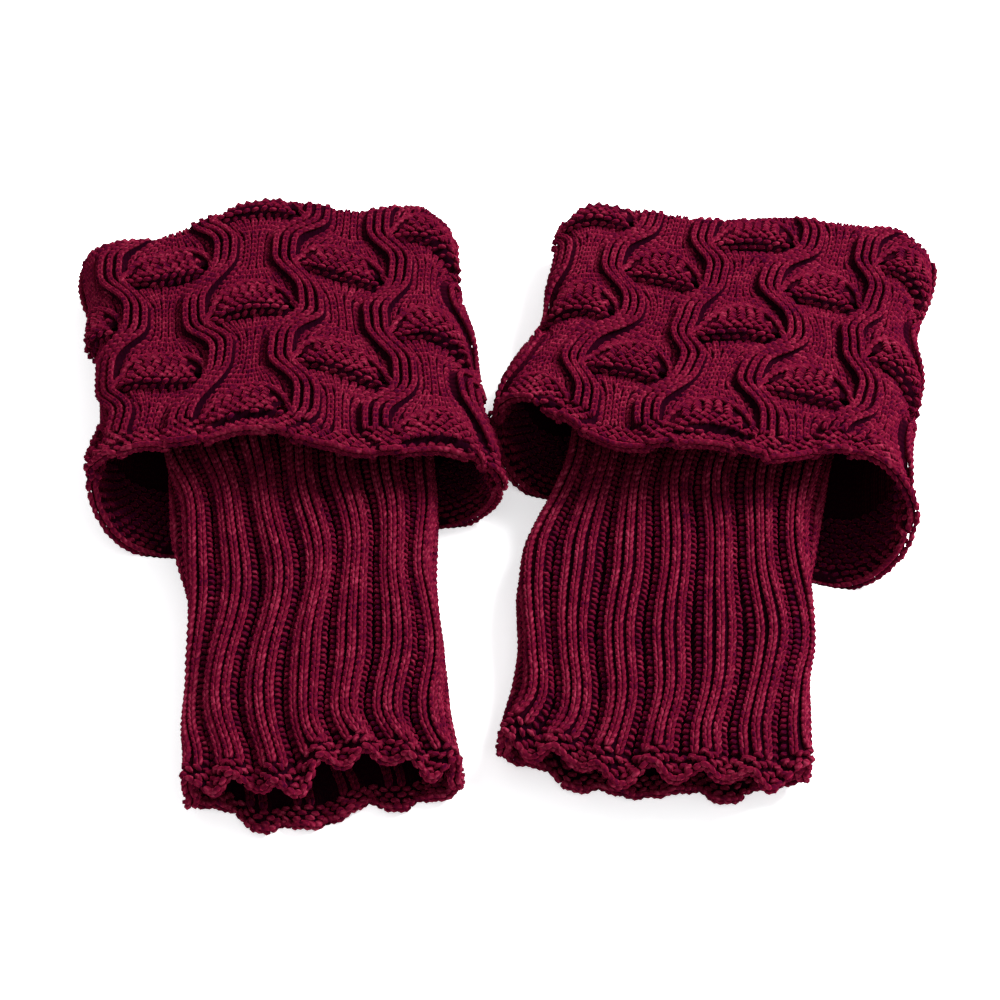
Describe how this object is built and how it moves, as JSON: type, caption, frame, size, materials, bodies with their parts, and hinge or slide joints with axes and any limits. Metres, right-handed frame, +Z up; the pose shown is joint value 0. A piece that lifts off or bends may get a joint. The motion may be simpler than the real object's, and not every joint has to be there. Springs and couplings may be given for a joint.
{
  "type": "pair of leg warmers",
  "caption": "Short knitted boot-cuff leg warmers laid flat side by side, each a ribbed leg tube with a lace-patterned cuff folded down over it, its mouth standing open.",
  "frame": {"origin": "on the surface that the pair lies on, under the middle of its box", "axes": "+X across the pair, from the left warmer to the right one; +Y from the hems of the leg tubes to the folds of the cuffs; +Z up from the surface"},
  "size_m": [0.3522, 0.281, 0.0521],
  "materials": {
    "rib_knit": "soft wine-red acrylic yarn in wide ribs",
    "lace_knit": "soft wine-red acrylic yarn in lace with raised crescents and eyelets"
  },
  "bodies": {
    "root": {"left_rib_tube": "rib_knit", "left_cuff_upper": "lace_knit", "left_cuff_under": "lace_knit", "right_rib_tube": "rib_knit", "right_cuff_upper": "lace_knit", "right_cuff_under": "lace_knit"}
  },
  "joints": []
}
